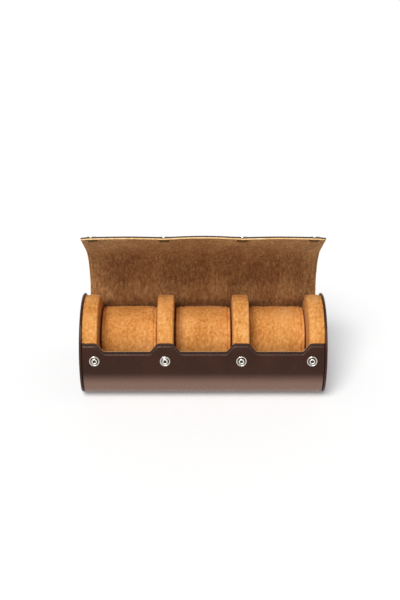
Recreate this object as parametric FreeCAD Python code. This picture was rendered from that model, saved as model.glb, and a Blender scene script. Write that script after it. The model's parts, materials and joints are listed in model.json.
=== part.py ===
import FreeCAD
import Part
import math
import os

# Sizes in millimetres. X runs along the roll, the front is -Y and Z is up.
# Angles about the roll's axis are in degrees, 0 straight forward and 90 straight up.

# Body section: a round body on a flat base, so its axis is lower than its radius
body_radius = 50.0
axis_height = 0.64 * body_radius
foot_radius = 0.44 * body_radius

# Shell layers, from outside to inside
leather = 1.5
board = 0.8
lining = 0.7
wall = leather + board + lining
rim_radius = body_radius - wall

# Cushions, each as wide as its slot allows
cushion_width = 53.5
cushion_side_gap = 1.0
cushion_depth = 1.2 * body_radius
cushion_height = 1.12 * body_radius
cushion_back = 0.27 * body_radius
cushion_lift_gap = 0.2
cushion_skin = 1.0
cushion_square = 2.4
cushion_crown = 0.03
cushion_end_round = 0.07

# Lengths along the roll
slot_width = cushion_width + 2 * cushion_side_gap
mid_divider = 15.5
end_divider = 12.75
end_board = 1.5
end_leather = 3.0
mid_divider_x = (slot_width + mid_divider) / 2
end_divider_x = 1.5 * slot_width + mid_divider + end_divider / 2
stack_half = end_divider_x + end_divider / 2
shell_half = stack_half + end_board

# Front wall
tab_angle = 36.0
notch_angle = 27.0
notch_inset = 6.25
notch_floor = slot_width - 2 * notch_inset
notch_slope = 7.5
notch_round = 3.0
back_angle = 150.0

# Dividers
suede = 1.0
rim_round = 2.2

# Snaps, one on each tab
flap_side_gap = 2.0
flap_half = shell_half - flap_side_gap
snap_from_side = 9.8
snap_end_x = flap_half - snap_from_side
snap_angle = 16.5
snap_x = (-snap_end_x, -mid_divider_x, mid_divider_x, snap_end_x)
snap_edge = 0.4
snap_edge_drop = 0.3
stud_flange = 4.8
stud_flange_height = 0.8
stud_flange_rim = 1.3
stud_flange_dish = 0.25
stud_bed = 0.3
stud_post = 2.9
stud_post_height = 1.4
stud_tip_clear = 0.25
rivet_shank = 1.2
rivet_bore = 0.7
rivet_head = 4.0
rivet_head_height = 0.45
rivet_play = 0.1
socket_radius = 4.8
socket_height = 1.8
socket_play = 0.6
socket_bed = 0.3
cap_radius = 5.2
cap_height = 1.5
cap_edge = 0.6
cap_crown = 0.06
cap_bed = 0.25
cap_shank = 1.5
snap_clear = 0.15
drill_past = 2.0

# Flap
flap_leather = 1.5
flap_lining = 0.8
flap_thick = flap_leather + flap_lining
flap_corner = 10.5
plate_gap = 0.7
flap_rim_clear = 1.5
edge_below_snap = 14.5
edge_strip = 24.0

# Lean of each plate of the open flap, from the root on: it stands up, then curls forward.
# The edge strip stands back from the bend that it has when it is snapped down.
flap_leans = (102.0, 80.0, 58.0, 42.0, 42.0)
plate_count = len(flap_leans)
edge_relax = 21.0

# Radii of the closed flap's inside, at its root and at the snaps
flap_root_radius = rim_radius + flap_rim_clear
flap_snap_radius = (body_radius + stud_flange_height - stud_bed + snap_clear + socket_height)
edge_radius = flap_snap_radius + flap_thick / 2
edge_angle = snap_angle - math.degrees(edge_below_snap / edge_radius)
strip_angle = edge_angle + math.degrees(edge_strip / edge_radius)


def vec(x, y, z):
    return FreeCAD.Vector(x, y, z)


def at(radius, angle, x=0.0):
    a = math.radians(angle)
    return vec(x, -radius * math.cos(a), axis_height + radius * math.sin(a))


def arc(p, q, r):
    return Part.Arc(p, q, r).toShape()


def line(p, q):
    return Part.makeLine(p, q)


def section(inset, x):
    # Outline of the body section, drawn in by inset, at a place along the roll
    reach = body_radius - foot_radius
    foot_y = math.sqrt(reach ** 2 - (axis_height - foot_radius) ** 2)
    foot = -math.degrees(math.asin((axis_height - foot_radius) / reach))
    radius = body_radius - inset
    corner = foot_radius - inset
    half = math.radians((foot - 90) / 2)
    front = at(radius, foot, x)
    back = at(radius, 180 - foot, x)
    low_y, low_z = corner * math.cos(half), foot_radius + corner * math.sin(half)
    front_low = vec(x, -foot_y - low_y, low_z)
    back_low = vec(x, foot_y + low_y, low_z)
    front_floor, back_floor = vec(x, -foot_y, inset), vec(x, foot_y, inset)
    return Part.Wire([
        arc(front, at(radius, 90, x), back), arc(back, back_low, back_floor),
        line(back_floor, front_floor), arc(front_floor, front_low, front)])


def slab(inset, x0, x1):
    return Part.Face(section(inset, x0)).extrude(vec(x1 - x0, 0, 0))


def mouth(x0, x1):
    # Wedge over the open top, from the tab edges back to the flap's root
    far = 3 * body_radius
    points = [at(0, 0, x0), at(far, tab_angle, x0), at(far, 75, x0), at(far, 110, x0),
              at(far, back_angle, x0), at(0, 0, x0)]
    return Part.Face(Part.makePolygon(points)).extrude(vec(x1 - x0, 0, 0))


def notch(x):
    # Cutter for one notch in the front wall, square to the wall
    middle = (tab_angle + notch_angle) / 2
    a = math.radians(middle)
    drop = body_radius * math.sin(math.radians((tab_angle - notch_angle) / 2))
    floor_half, top_half = notch_floor / 2, notch_floor / 2 + notch_slope
    out = vec(0, -math.cos(a), math.sin(a))
    up = vec(0, math.sin(a), math.cos(a))
    centre = at(body_radius - 6 * wall, middle, x)

    def place(u, v):
        return centre + vec(u, 0, 0) + up * v

    points = [place(-floor_half, -drop), place(floor_half, -drop), place(top_half, drop),
              place(top_half, 3 * drop), place(-top_half, 3 * drop), place(-top_half, drop),
              place(-floor_half, -drop)]
    block = Part.Face(Part.makePolygon(points)).extrude(out * 8 * wall)
    corners = [e for e in block.Edges if is_along(e, out) and near_floor(e, centre, up, -drop)]
    return block.makeFillet(notch_round, corners)


def is_along(edge, way):
    if len(edge.Vertexes) < 2:
        return False
    d = edge.Vertexes[1].Point - edge.Vertexes[0].Point
    return d.Length > 1e-6 and abs(abs(d.dot(way)) - d.Length) < 1e-6


def near_floor(edge, centre, up, level):
    return abs((edge.Vertexes[0].Point - centre).dot(up) - level) < 1e-6


def turned(profile, x):
    # Solid of revolution about the line out through a snap; profile holds (distance out, radius)
    a = math.radians(snap_angle)
    points = [vec(r, 0, h) for h, r in profile]
    face = Part.Face(Part.makePolygon(points + [points[0]]))
    solid = face.revolve(vec(0, 0, 0), vec(0, 0, 1), 360)
    turn = FreeCAD.Rotation(vec(0, 0, 1), vec(0, -math.cos(a), math.sin(a)))
    solid.Placement = FreeCAD.Placement(at(0, 0, x), turn)
    return solid


def drill(radius, low, high, x):
    return turned([(low, 0), (low, radius), (high, radius), (high, 0)], x)


def shell_layer(outside, inside):
    long = shell_half
    layer = slab(outside, -long, long).cut(slab(inside, -long - 1, long + 1))
    layer = layer.cut(mouth(-long - 1, long + 1))
    for x in (-slot_width - mid_divider, 0.0, slot_width + mid_divider):
        layer = layer.cut(notch(x))
    return layer


def make_shell():
    skin = shell_layer(0, leather)
    stiff = shell_layer(leather, leather + board)
    inner = shell_layer(leather + board, wall)
    inside, outside = rim_radius - drill_past, body_radius + drill_past
    board_face = body_radius - leather - board
    for x in snap_x:
        skin = skin.cut(drill(rivet_shank, inside, outside, x))
        skin = skin.cut(drill(stud_flange, body_radius - stud_bed, outside, x))
        stiff = stiff.cut(drill(rivet_shank, inside, outside, x))
        stiff = stiff.cut(drill(rivet_head, inside, board_face, x))
        inner = inner.cut(drill(rivet_head, inside, outside, x))
    return {"shell_leather": skin, "shell_board": stiff, "shell_lining": inner}


def make_ends():
    parts = {}
    for name, side in (("left", -1), ("right", 1)):
        parts["end_board_" + name] = slab(wall, side * stack_half, side * shell_half)
        outside = side * (shell_half + end_leather)
        disc = slab(0, side * shell_half, outside)
        rim = [e for e in disc.Edges if abs(e.BoundBox.XMin - outside) < 1e-6
               and abs(e.BoundBox.XMax - outside) < 1e-6]
        parts["end_leather_" + name] = disc.makeFillet(end_leather / 2, rim)
    return parts


def make_dividers():
    parts = {}
    rows = ((-end_divider_x, end_divider), (-mid_divider_x, mid_divider),
            (mid_divider_x, mid_divider), (end_divider_x, end_divider))
    for i, (x, width) in enumerate(rows, 1):
        x0, x1 = x - width / 2, x + width / 2
        disc = slab(wall, x0, x1)
        # The rim is rounded on the sides that face a slot
        open_sides = [s for s in (x0, x1) if abs(s) < stack_half - 1e-6]
        rim = [e for e in disc.Edges for s in open_sides
               if abs(e.BoundBox.XMin - s) < 1e-6 and abs(e.BoundBox.XMax - s) < 1e-6]
        core = slab(wall + suede, x0 + suede, x1 - suede)
        parts["divider_core_%d" % i] = core
        parts["divider_cover_%d" % i] = disc.makeFillet(rim_round, rim).cut(core)
    return parts


def make_studs():
    base = body_radius - stud_bed
    flange = base + stud_flange_height
    tip = flange + stud_post_height
    head = body_radius - leather - board
    dish = flange - stud_flange_dish
    stud = [(base, rivet_shank), (base, stud_flange), (flange - snap_edge_drop, stud_flange),
            (flange, stud_flange - snap_edge), (dish, stud_flange - stud_flange_rim), (dish, stud_post),
            (tip - snap_edge_drop, stud_post), (tip, stud_post - snap_edge), (tip, rivet_shank)]
    head_radius = rivet_head - rivet_play
    rivet = [(head - rivet_head_height, rivet_bore), (head - rivet_head_height, head_radius),
             (head, head_radius), (head, rivet_shank), (tip, rivet_shank), (tip, rivet_bore)]
    return {"snap_studs": Part.makeCompound([turned(stud, x) for x in snap_x]),
            "stud_rivets": Part.makeCompound([turned(rivet, x) for x in snap_x])}


def hinge_closed(k):
    # Bend line k of the closed flap, 0 at the root, in the middle of the flap's thickness
    share = k / plate_count
    radius = flap_root_radius + (flap_snap_radius - flap_root_radius) * share + flap_thick / 2
    return at(radius, back_angle + (strip_angle - back_angle) * share)


def plate_way(k):
    # Direction of plate k as it stands open, up and forward
    a = math.radians(flap_leans[k])
    return vec(0, -math.cos(a), math.sin(a))


def hinge_open(k):
    place = hinge_closed(0)
    for i in range(k):
        place = place + plate_way(i) * (hinge_closed(i + 1) - hinge_closed(i)).Length
    return place


def plate_layer(k, low, high):
    # Plate k between two distances from the middle of the thickness, outward positive
    way = plate_way(k)
    out = vec(0, way.z, -way.y)
    start, end = hinge_open(k) + way * plate_gap / 2, hinge_open(k + 1) - way * plate_gap / 2
    corners = [start + out * low, end + out * low, end + out * high, start + out * high]
    corners = [c - vec(flap_half, 0, 0) for c in corners]
    face = Part.Face(Part.makePolygon(corners + [corners[0]]))
    return face.extrude(vec(2 * flap_half, 0, 0))


def corner_cutter(side):
    # What a rounded free corner takes off the edge strip, square to the strip's edge
    a = math.radians(edge_angle)
    out, along = vec(0, -math.cos(a), math.sin(a)), vec(0, math.sin(a), math.cos(a))
    below = edge_radius - 3 * flap_thick

    def place(from_side, from_edge):
        return at(below, edge_angle, side * (flap_half - from_side)) + along * from_edge

    past = -flap_thick
    middle = flap_corner * (1 - math.sqrt(0.5))
    wire = Part.Wire([
        arc(place(flap_corner, 0), place(middle, middle), place(0, flap_corner)),
        line(place(0, flap_corner), place(past, flap_corner)),
        line(place(past, flap_corner), place(past, past)),
        line(place(past, past), place(flap_corner, past)),
        line(place(flap_corner, past), place(flap_corner, 0))])
    return Part.Face(wire).extrude(out * 6 * flap_thick)


def strip_layer(low, high):
    # Edge strip of the closed flap, round the body, with rounded free corners
    top = strip_angle - math.degrees(plate_gap / 2 / edge_radius)
    middle = (top + edge_angle) / 2
    x = -flap_half
    wire = Part.Wire([
        arc(at(low, top, x), at(low, middle, x), at(low, edge_angle, x)),
        line(at(low, edge_angle, x), at(high, edge_angle, x)),
        arc(at(high, edge_angle, x), at(high, middle, x), at(high, top, x)),
        line(at(high, top, x), at(low, top, x))])
    strip = Part.Face(wire).extrude(vec(2 * flap_half, 0, 0))
    return strip.cut(corner_cutter(-1)).cut(corner_cutter(1))


def opened(shape):
    # Moves a piece of the closed edge strip to where it stands open
    shut = hinge_closed(plate_count) - hinge_closed(plate_count - 1)
    way = plate_way(plate_count - 1)
    turn = math.degrees(math.atan2(shut.z, -shut.y) - math.atan2(way.z, -way.y)) - edge_relax
    moved = shape.copy()
    moved.rotate(hinge_closed(plate_count), vec(1, 0, 0), turn)
    moved.translate(hinge_open(plate_count) - hinge_closed(plate_count))
    return moved


def make_flap():
    parts = {}
    inside, between, outside = -flap_thick / 2, flap_lining - flap_thick / 2, flap_thick / 2
    for k in range(plate_count):
        parts["flap_lining_%d" % (k + 1)] = plate_layer(k, inside, between)
        parts["flap_leather_%d" % (k + 1)] = plate_layer(k, between, outside)
    suede_side = strip_layer(flap_snap_radius, flap_snap_radius + flap_lining)
    skin = strip_layer(flap_snap_radius + flap_lining, flap_snap_radius + flap_thick)
    face = flap_snap_radius + flap_thick
    past = face + drill_past
    for x in snap_x:
        suede_side = suede_side.cut(drill(cap_shank, body_radius, past, x))
        suede_side = suede_side.cut(drill(socket_radius, body_radius, flap_snap_radius + socket_bed, x))
        skin = skin.cut(drill(cap_shank, body_radius, past, x))
        skin = skin.cut(drill(cap_radius, face - cap_bed, past, x))
    parts["flap_lining_edge"] = opened(suede_side)
    parts["flap_leather_edge"] = opened(skin)
    return parts


def make_caps():
    face = flap_snap_radius + flap_thick
    low, top = face - cap_bed, face - cap_bed + cap_height
    inner = flap_snap_radius + socket_bed
    cap = [(inner, 0), (inner, cap_shank), (low, cap_shank), (low, cap_radius),
           (low + 0.45 * cap_height, cap_radius), (low + 0.8 * cap_height, cap_radius - cap_edge),
           (top - cap_crown, 0.58 * cap_radius), (top, 0)]
    mouth_face = flap_snap_radius - socket_height
    recess = stud_post + socket_play
    floor = mouth_face + stud_post_height + stud_tip_clear
    socket = [(mouth_face, recess), (mouth_face, socket_radius - snap_edge),
              (mouth_face + snap_edge, socket_radius), (inner, socket_radius), (inner, 0), (floor, 0),
              (floor, recess)]
    return {"snap_caps": opened(Part.makeCompound([turned(cap, x) for x in snap_x])),
            "snap_sockets": opened(Part.makeCompound([turned(socket, x) for x in snap_x]))}


def cushion_ring(x, size, trim, count=28):
    # One cross-section of a cushion, a rounded square drawn in by size and trim
    half_y, half_z = cushion_depth / 2 * size - trim, cushion_height / 2 * size - trim
    middle_z = wall + cushion_lift_gap + cushion_height / 2
    power = 2 / cushion_square
    points = []
    for i in range(count):
        a = 2 * math.pi * i / count
        c, s = math.cos(a), math.sin(a)
        y = cushion_back + half_y * math.copysign(abs(c) ** power, c)
        points.append(vec(x, y, middle_z + half_z * math.copysign(abs(s) ** power, s)))
    curve = Part.BSplineCurve()
    curve.interpolate(points, PeriodicFlag=True)
    return Part.Wire(curve.toShape())


def cushion_form(x, trim):
    # Crowned along the roll, with sides drawn in towards the seams
    half = cushion_width / 2 - trim
    rows = []
    for share in (-1.0, -0.94, -0.72, -0.36, 0.0, 0.36, 0.72, 0.94, 1.0):
        crown = 1 - cushion_crown * abs(share) ** 3 - cushion_end_round * abs(share) ** 22
        rows.append(cushion_ring(x + half * share, crown, trim))
    return Part.makeLoft(rows, True, False)


def make_cushions():
    parts = {}
    for i, x in enumerate((-slot_width - mid_divider, 0.0, slot_width + mid_divider), 1):
        foam = cushion_form(x, cushion_skin)
        parts["cushion_foam_%d" % i] = foam
        parts["cushion_cover_%d" % i] = cushion_form(x, 0).cut(foam)
    return parts


def build():
    parts = {}
    for make in (make_shell, make_ends, make_dividers, make_studs, make_flap, make_caps, make_cushions):
        parts.update(make())
    return parts


os.makedirs("parts", exist_ok=True)
for name, shape in build().items():
    shape.exportStep("parts/" + name + ".step")
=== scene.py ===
import bpy
import bmesh
import json
import math
import numpy as np
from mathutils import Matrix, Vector, noise


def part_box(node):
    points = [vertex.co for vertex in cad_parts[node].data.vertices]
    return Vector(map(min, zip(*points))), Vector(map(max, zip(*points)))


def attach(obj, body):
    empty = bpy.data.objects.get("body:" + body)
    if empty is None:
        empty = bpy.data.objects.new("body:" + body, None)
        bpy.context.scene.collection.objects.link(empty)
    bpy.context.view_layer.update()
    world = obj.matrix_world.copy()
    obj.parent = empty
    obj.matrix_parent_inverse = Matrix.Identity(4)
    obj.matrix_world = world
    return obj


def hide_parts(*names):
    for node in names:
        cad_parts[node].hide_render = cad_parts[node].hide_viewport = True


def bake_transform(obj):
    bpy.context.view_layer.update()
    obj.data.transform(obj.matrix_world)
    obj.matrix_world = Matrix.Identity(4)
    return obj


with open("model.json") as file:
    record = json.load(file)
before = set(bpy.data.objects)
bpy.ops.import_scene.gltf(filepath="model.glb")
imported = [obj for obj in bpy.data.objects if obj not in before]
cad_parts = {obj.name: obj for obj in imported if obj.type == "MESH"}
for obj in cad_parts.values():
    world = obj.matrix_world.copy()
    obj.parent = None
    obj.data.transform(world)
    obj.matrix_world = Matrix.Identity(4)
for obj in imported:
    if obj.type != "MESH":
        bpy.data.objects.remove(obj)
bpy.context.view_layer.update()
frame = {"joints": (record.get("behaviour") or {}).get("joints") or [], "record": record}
scene = bpy.context.scene
mm = 0.001
tiny = 1e-9                                 # keeps a division from zero
joints = {j["name"]: j for j in frame["joints"]}


# Small helpers

creaseAngle = 42                            # degrees; faces that meet more steeply stay creased


def hexColour(code):
    parts = [int(code[i:i + 2], 16) / 255 for i in (1, 3, 5)]
    return [c / 12.92 if c <= 0.04045 else ((c + 0.055) / 1.055) ** 2.4 for c in parts] + [1.0]


def addNode(tree, kind, settings=None, inputs=None):
    node = tree.nodes.new(kind)
    for key, value in (settings or {}).items():
        setattr(node, key, value)
    for key, value in (inputs or {}).items():
        if isinstance(value, bpy.types.NodeSocket):
            tree.links.new(value, node.inputs[key])
        else:
            node.inputs[key].default_value = value
    return node


def perMetre(sizeMm):                       # texture scale for a feature of that size
    return 1000 / sizeMm


def ease(t):                                # from 0 to 1, slow at both ends
    return t * t * (3 - 2 * t)


def dent(d, deep, wide):                    # depth of a soft groove, d from its middle
    return deep * np.exp(-(d / wide) ** 2)


def edgeRound(d, r):                        # how far a rounded edge falls away, d from the edge
    t = np.clip(1 - np.asarray(d) / r, 0, 1)
    return r * (1 - np.sqrt(1 - t * t))


def softWave(x, s, size, seed):             # slow unevenness of hand-covered leather, -1 to 1
    return noise.noise(Vector((x / size, s / size, seed)))


def ringFaces(rings, count):                # quads between rings of count points
    faces = []
    for i in range(rings - 1):
        for k in range(count):
            n = (k + 1) % count
            faces.append((i * count + k, i * count + n, (i + 1) * count + n, (i + 1) * count + k))
    return faces


def cappedFaces(rings, count):              # and fans to two middle points that follow the rings
    faces = ringFaces(rings, count)
    last, first = (rings - 1) * count, rings * count
    for k in range(count):
        n = (k + 1) % count
        faces.append((first, n, k))
        faces.append((first + 1, last + k, last + n))
    return faces


def smoothPiece(name, verts, faces, finish, crease=creaseAngle, cutFinish=None, cutFaces=None):
    mesh = bpy.data.meshes.new(name)
    mesh.from_pydata([tuple(v) for v in np.asarray(verts) * mm], [], faces)
    bm = bmesh.new()
    bm.from_mesh(mesh)
    bmesh.ops.recalc_face_normals(bm, faces=bm.faces)
    bm.to_mesh(mesh)
    bm.free()
    mesh.materials.append(finish)
    if cutFinish:
        mesh.materials.append(cutFinish)
        mesh.polygons.foreach_set("material_index", np.array(cutFaces, np.int32))
    mesh.shade_smooth()
    mesh.set_sharp_from_angle(angle=math.radians(crease))
    obj = bpy.data.objects.new(name, mesh)
    scene.collection.objects.link(obj)
    return obj


def settle(obj, rider, slot, *nodes):       # rides on a body and hides the CAD nodes that it stands for
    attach(obj, rider)
    if nodes:
        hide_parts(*nodes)


# Finishes; the sizes of their patterns are in millimetres

def startFinish(name):
    finish = bpy.data.materials.new(name)
    finish.use_nodes = True
    tree = finish.node_tree
    shader = tree.nodes["Principled BSDF"]
    place = addNode(tree, "ShaderNodeTexCoord").outputs["Object"]
    return finish, tree, shader, place


# Pebbles are drawn at twice their real size, so that they show
calfGrain = {"cloud": 34.0, "fleck": 2.2, "fleckShare": 0.35, "pebble": 1.3, "crease": 9.0,
             "creaseShare": 0.45, "deep": 0.12, "ior": 1.6, "specular": 0.26, "tint": "#ffd8c0"}


def leatherFinish(name, deep, mid, pale, roughLow, roughHigh, bellySheen=None):
    # Aniline-dyed calf, rolled smooth and waxed: soft broad sheen, cloudy dye, fine pebbled grain
    finish, tree, shader, place = startFinish(name)
    cloud = addNode(tree, "ShaderNodeTexNoise", inputs={
        "Vector": place, "Scale": perMetre(calfGrain["cloud"]), "Detail": 4.0, "Roughness": 0.6})
    fleck = addNode(tree, "ShaderNodeTexNoise", inputs={
        "Vector": place, "Scale": perMetre(calfGrain["fleck"]), "Detail": 3.0, "Roughness": 0.7})
    dye = addNode(tree, "ShaderNodeMix", inputs={
        "Factor": calfGrain["fleckShare"], "A": cloud.outputs["Fac"], "B": fleck.outputs["Fac"]})
    ramp = addNode(tree, "ShaderNodeValToRGB", inputs={"Fac": dye.outputs["Result"]})
    ramp.color_ramp.elements[0].position, ramp.color_ramp.elements[1].position = 0.34, 0.68
    ramp.color_ramp.elements[0].color = hexColour(deep)
    ramp.color_ramp.elements[1].color = hexColour(pale)
    ramp.color_ramp.elements.new(0.5).color = hexColour(mid)
    colour = ramp.outputs["Color"]
    if bellySheen:                               # painted sheen: paler towards the base, in place of the floor's reflection
        height = addNode(tree, "ShaderNodeSeparateXYZ", inputs={"Vector": place})
        low = addNode(tree, "ShaderNodeMapRange", {"interpolation_type": "SMOOTHSTEP"}, {
            "Value": height.outputs["Z"], "From Min": bellySheen["low"] * mm, "From Max": bellySheen["high"] * mm,
            "To Min": bellySheen["amount"], "To Max": 0.0})
        sheenMix = addNode(tree, "ShaderNodeMix", {"data_type": "RGBA"}, {  # 6 and 7 are its two colours
            0: low.outputs["Result"], 6: colour, 7: hexColour(bellySheen["colour"])})
        colour = sheenMix.outputs[2]
    tree.links.new(colour, shader.inputs["Base Color"])
    pebble = addNode(tree, "ShaderNodeTexVoronoi", {"feature": "SMOOTH_F1"}, {
        "Vector": place, "Scale": perMetre(calfGrain["pebble"]), "Smoothness": 0.6, "Randomness": 1.0})
    crease = addNode(tree, "ShaderNodeTexNoise", inputs={
        "Vector": place, "Scale": perMetre(calfGrain["crease"]), "Detail": 5.0, "Roughness": 0.65,
        "Distortion": 0.6})
    relief = addNode(tree, "ShaderNodeMix", inputs={
        "Factor": calfGrain["creaseShare"], "A": pebble.outputs["Distance"], "B": crease.outputs["Fac"]})
    bump = addNode(tree, "ShaderNodeBump", inputs={
        "Strength": 0.35, "Distance": calfGrain["deep"] * mm, "Height": relief.outputs["Result"]})
    tree.links.new(bump.outputs["Normal"], shader.inputs["Normal"])
    gloss = addNode(tree, "ShaderNodeMapRange", inputs={
        "Value": crease.outputs["Fac"], "From Min": 0.3, "From Max": 0.7,
        "To Min": roughLow, "To Max": roughHigh})
    tree.links.new(gloss.outputs["Result"], shader.inputs["Roughness"])
    shader.inputs["IOR"].default_value = calfGrain["ior"]
    shader.inputs["Specular IOR Level"].default_value = calfGrain["specular"]
    shader.inputs["Specular Tint"].default_value = hexColour(calfGrain["tint"])
    return finish


# Tufts and fibres are drawn coarser than real, so that they show
suedeNap = {"patch": 22.0, "tuft": 2.2, "tuftShare": 0.72, "fibre": 0.9, "fibreShare": 0.5, "deep": 0.25,
            "rough": 0.95, "specular": 0.2, "sheen": 0.18, "sheenRough": 0.5, "sheenTint": "#f2c48a"}


def suedeFinish(name, deep, mid, pale, streak):
    # Brushed microfibre suede: dead matt, a short nap in paler and darker flecks, drawn out along the brush
    finish, tree, shader, place = startFinish(name)
    place = addNode(tree, "ShaderNodeMapping", inputs={
        "Vector": place, "Scale": (1.0, streak, streak)}).outputs["Vector"]
    patch = addNode(tree, "ShaderNodeTexNoise", inputs={
        "Vector": place, "Scale": perMetre(suedeNap["patch"]), "Detail": 3.0, "Roughness": 0.55,
        "Distortion": 0.5})
    tuft = addNode(tree, "ShaderNodeTexNoise", inputs={
        "Vector": place, "Scale": perMetre(suedeNap["tuft"]), "Detail": 5.0, "Roughness": 0.8,
        "Distortion": 0.3})
    fibre = addNode(tree, "ShaderNodeTexNoise", inputs={
        "Vector": place, "Scale": perMetre(suedeNap["fibre"]), "Detail": 4.0, "Roughness": 0.75})
    nap = addNode(tree, "ShaderNodeMix", inputs={
        "Factor": suedeNap["tuftShare"], "A": patch.outputs["Fac"], "B": tuft.outputs["Fac"]})
    ramp = addNode(tree, "ShaderNodeValToRGB", inputs={"Fac": nap.outputs["Result"]})
    ramp.color_ramp.elements[0].position, ramp.color_ramp.elements[1].position = 0.37, 0.63
    ramp.color_ramp.elements[0].color = hexColour(deep)
    ramp.color_ramp.elements[1].color = hexColour(pale)
    ramp.color_ramp.elements.new(0.5).color = hexColour(mid)
    tree.links.new(ramp.outputs["Color"], shader.inputs["Base Color"])
    pile = addNode(tree, "ShaderNodeMix", inputs={
        "Factor": suedeNap["fibreShare"], "A": tuft.outputs["Fac"], "B": fibre.outputs["Fac"]})
    bump = addNode(tree, "ShaderNodeBump", inputs={
        "Strength": 0.8, "Distance": suedeNap["deep"] * mm, "Height": pile.outputs["Result"]})
    tree.links.new(bump.outputs["Normal"], shader.inputs["Normal"])
    shader.inputs["Roughness"].default_value = suedeNap["rough"]
    shader.inputs["Specular IOR Level"].default_value = suedeNap["specular"]
    shader.inputs["Sheen Weight"].default_value = suedeNap["sheen"]
    shader.inputs["Sheen Roughness"].default_value = suedeNap["sheenRough"]
    shader.inputs["Sheen Tint"].default_value = hexColour(suedeNap["sheenTint"])
    return finish


def metalFinish(name, colour, roughLow, roughHigh, hazeSize=1.6):
    # Pressed brass, plated or left to darken: a mirror with faint handling haze
    finish, tree, shader, place = startFinish(name)
    haze = addNode(tree, "ShaderNodeTexNoise", inputs={
        "Vector": place, "Scale": perMetre(hazeSize), "Detail": 3.0})
    gloss = addNode(tree, "ShaderNodeMapRange", inputs={
        "Value": haze.outputs["Fac"], "From Min": 0.3, "From Max": 0.7,
        "To Min": roughLow, "To Max": roughHigh})
    tree.links.new(gloss.outputs["Result"], shader.inputs["Roughness"])
    shader.inputs["Base Color"].default_value = hexColour(colour)
    shader.inputs["Metallic"].default_value = 1.0
    return finish


def paintFinish(name, deep, pale, brushSize=4.0):
    # Cut leather edges, sanded and painted: nearly black, satin, a little uneven
    finish, tree, shader, place = startFinish(name)
    brush = addNode(tree, "ShaderNodeTexNoise", inputs={
        "Vector": place, "Scale": perMetre(brushSize), "Detail": 3.0})
    ramp = addNode(tree, "ShaderNodeValToRGB", inputs={"Fac": brush.outputs["Fac"]})
    ramp.color_ramp.elements[0].color = hexColour(deep)
    ramp.color_ramp.elements[1].color = hexColour(pale)
    tree.links.new(ramp.outputs["Color"], shader.inputs["Base Color"])
    shader.inputs["Roughness"].default_value = 0.5
    shader.inputs["Specular IOR Level"].default_value = 0.25
    return finish


def threadFinish(name, deep, pale, twistSize=0.8):
    # Waxed polyester thread, three-ply: dull, with light and dark along the twist
    finish, tree, shader, place = startFinish(name)
    twist = addNode(tree, "ShaderNodeTexNoise", inputs={
        "Vector": place, "Scale": perMetre(twistSize), "Detail": 2.0})
    ramp = addNode(tree, "ShaderNodeValToRGB", inputs={"Fac": twist.outputs["Fac"]})
    ramp.color_ramp.elements[0].color = hexColour(deep)
    ramp.color_ramp.elements[1].color = hexColour(pale)
    tree.links.new(ramp.outputs["Color"], shader.inputs["Base Color"])
    shader.inputs["Roughness"].default_value = 0.6
    return finish


leather = leatherFinish("waxed calf leather", "#27110c", "#341711", "#45241b", 0.24, 0.34)
# Painted sheen for the shell's leather: a paler colour low on its belly stands in for the floor's reflection
paintedBellySheen = {"low": 19.0, "high": 35.0, "colour": "#86675a", "amount": 0.92}
shellCalf = leatherFinish("waxed calf leather, painted sheen on the belly", "#1f0d09", "#29120c", "#361a13", 0.24, 0.34,
                          paintedBellySheen)
# The same dark paint is also the painted shade in the snap studs' bores
edgePaintAndBoreShade = paintFinish("painted leather edge, and painted shade in the studs' bores", "#0d0605", "#1f100c")
suede = suedeFinish("brushed suede", "#b37032", "#d9944b", "#eeb574", 0.6)
rawSuede = suedeFinish("raw cut edge of suede", "#dca868", "#f2c88f", "#ffdfb4", 0.6)
# The linings' suede: darker than the cushions' suede, partly for its nap laid down and partly as painted
# shade
suedeLaidAndShaded = suedeFinish("suede with its nap laid down and painted shade", "#704728", "#9a6c42", "#c09462", 0.4)
nickel = metalFinish("polished nickel plate", "#d4d1ca", 0.12, 0.2)
oldBrass = metalFinish("darkened brass", "#6d4f2b", 0.3, 0.42)
darkThread = threadFinish("brown waxed thread", "#2c1a14", "#5a4038")
tanThread = threadFinish("tan waxed thread", "#a87240", "#d9a060")
print("finishes:", len(bpy.data.materials))


# Body section, in millimetres: y back, z up; s runs down the front from the tab line, under and up the back

body = {
    "radius": 50.0, "axis": 32.0, "foot": 22.0,
    "tabAngle": 36.0, "notchAngle": 27.0, "backAngle": 150.0,
    "leather": 1.5, "wall": 3.0, "rootTuck": 12.0,
    "half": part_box("shell_leather")[1].x / mm, "flapHalf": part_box("flap_leather_1")[1].x / mm,
    "slots": 3, "slotPitch": 71.0, "notchHalf": 20.5, "notchTop": 30.0,
}
reach = body["radius"] - body["foot"]
footY = math.sqrt(reach ** 2 - (body["axis"] - body["foot"]) ** 2)
footAngle = -math.asin((body["axis"] - body["foot"]) / reach)
tab = math.radians(body["tabAngle"])
footRun = body["foot"] * (footAngle + math.pi / 2)
runs = np.cumsum([body["radius"] * (tab - footAngle), footRun, 2 * footY, footRun])
wallEnd = runs[3] + body["radius"] * (math.pi - math.radians(body["backAngle"]) - footAngle)
roundEnd = runs[3] + body["radius"] * (math.pi - tab - footAngle)
backEnd = wallEnd - body["rootTuck"]        # where the flap's own sheets run on from the wall's


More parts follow.
